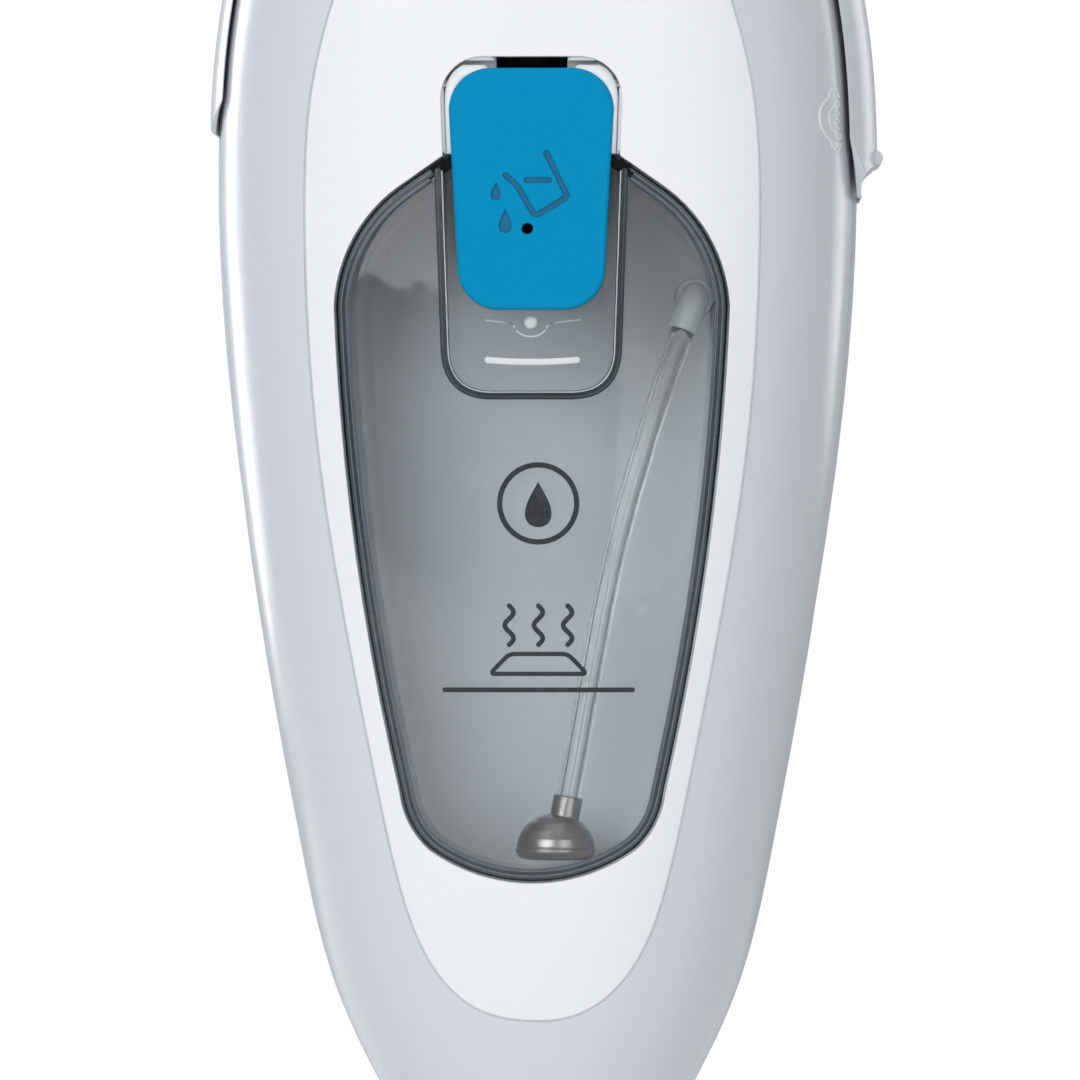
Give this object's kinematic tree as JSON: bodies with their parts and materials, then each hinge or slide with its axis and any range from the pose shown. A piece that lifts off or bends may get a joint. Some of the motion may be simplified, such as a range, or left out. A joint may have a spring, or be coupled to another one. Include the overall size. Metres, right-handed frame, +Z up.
{
  "type": "steam mop",
  "caption": "Upright steam mop: triangular padded head on a two-way joint, neck with a dock, lift-off steam unit with a clear tank, and a tube handle with a loop grip.",
  "frame": {"origin": "on the floor, under the axis of the neck and handle tube", "axes": "+Z up along the neck and handle, +X to the right of someone who faces the tank, -Y the side that the tank and the filler cap are on"},
  "size_m": [0.312, 0.2383, 1.2199],
  "materials": {
    "pad_fabric": "looped microfibre pile",
    "hook_tape": "hook tape",
    "grey_plastic": "fine texture",
    "blue_trim": "gloss",
    "white_shell": "gloss",
    "white_panel": "gloss",
    "pale_grey": "satin",
    "blue_gloss": "gloss",
    "soft_grip": "soft touch",
    "clear_tank": "smoke-clear moulded plastic",
    "clear_silicone": "translucent",
    "black_rubber": "matt",
    "steel": "zinc plated",
    "weight_metal": "polished",
    "tube_metal": "satin anodised",
    "cast_aluminium": "as cast",
    "nozzle_plastic": "heat-resistant",
    "black_plastic": "fine texture",
    "board_green": "solder mask",
    "lamp_lens": "clear lens"
  },
  "bodies": {
    "mop_head": {"microfibre_pad": "pad_fabric", "hook_strips": "hook_tape", "head_base": "grey_plastic", "steam_distributor": "grey_plastic", "head_trim": "blue_trim", "head_cover": "white_shell", "pitch_pin": "steel", "head_screws": "steel", "pivot_caps": "pale_grey"},
    "knuckle": {"knuckle": "pale_grey"},
    "neck": {"neck_fork": "grey_plastic", "roll_pin": "steel", "neck_shell_front": "white_shell", "neck_shell_rear": "white_shell", "neck_steam_hose": "black_rubber", "dock_socket": "grey_plastic", "neck_screws": "steel", "dock_button_spring": "steel"},
    "dock_button": {"dock_button": "blue_gloss"},
    "steam_unit": {"front_cover": "white_shell", "front_panel": "white_panel", "rear_cover": "white_shell", "side_rest": "white_shell", "tank_cradle": "white_panel", "tank_front": "clear_tank", "tank_rear": "clear_tank", "intake_elbow": "clear_silicone", "intake_hose": "clear_silicone", "intake_weight": "weight_metal", "cap_hinge_pin": "steel", "steam_nozzle": "nozzle_plastic", "nozzle_o_ring": "black_rubber", "pump": "black_plastic", "pump_inlet_hose": "clear_silicone", "pump_outlet_hose": "clear_silicone", "boiler": "cast_aluminium", "thermostat": "black_plastic", "steam_pipe": "steel", "control_board": "board_green", "steam_switch": "black_plastic", "ready_lamp": "lamp_lens", "cord_gland": "black_rubber", "cover_screws": "steel", "carry_handle": "white_shell", "carry_grip": "soft_grip", "top_collar": "white_shell", "tube_button_spring": "steel"},
    "filler_cap": {"filler_cap": "blue_gloss", "cap_seal": "black_rubber"},
    "steam_slider": {"steam_slider": "white_shell"},
    "handle": {"handle_tube": "tube_metal", "tube_spigot": "white_shell", "handle_shell_left": "white_shell", "handle_shell_right": "white_shell", "handle_grip": "soft_grip", "upper_cord_hook": "black_plastic", "hook_clamp": "grey_plastic"},
    "tube_button": {"tube_button": "blue_gloss"},
    "swivel_hook": {"swivel_cord_hook": "black_plastic"}
  },
  "joints": [
    {"name": "neck_pitch", "type": "hinge", "parent": "mop_head", "child": "knuckle", "pos_m": [0, 0, 0.056], "axis": [-1, 0, 0], "range_deg": [0, 75]},
    {"name": "neck_roll", "type": "hinge", "parent": "knuckle", "child": "neck", "pos_m": [0, 0, 0.088], "axis": [0, 1, 0], "range_deg": [-35, 35]},
    {"name": "unit_lift", "type": "slide", "parent": "neck", "child": "steam_unit", "axis": [0, 0, 1], "range_m": [0, 0.06]},
    {"name": "dock_button_press", "type": "slide", "parent": "neck", "child": "dock_button", "axis": [0, 1, 0], "range_m": [0, 0.0025], "stiffness_N_per_m": 900, "springref_m": -0.001, "deforming": ["dock_button_spring"]},
    {"name": "handle_pull", "type": "slide", "parent": "steam_unit", "child": "handle", "axis": [0, 0, 1], "range_m": [0, 0.07]},
    {"name": "tube_button_press", "type": "slide", "parent": "steam_unit", "child": "tube_button", "axis": [0, 1, 0], "range_m": [0, 0.0018], "stiffness_N_per_m": 900, "springref_m": -0.001, "deforming": ["tube_button_spring"]},
    {"name": "cap_hinge", "type": "hinge", "parent": "steam_unit", "child": "filler_cap", "pos_m": [0, -0.0555, 0.6136], "axis": [-1, 0, 0], "range_deg": [0, 100]},
    {"name": "steam_slide", "type": "slide", "parent": "steam_unit", "child": "steam_slider", "axis": [0, 0, 1], "range_m": [0, 0.008]},
    {"name": "hook_swivel", "type": "hinge", "parent": "handle", "child": "swivel_hook", "pos_m": [0, 0.02, 0.806], "axis": [0, 1, 0], "range_deg": [0, 180]}
  ]
}
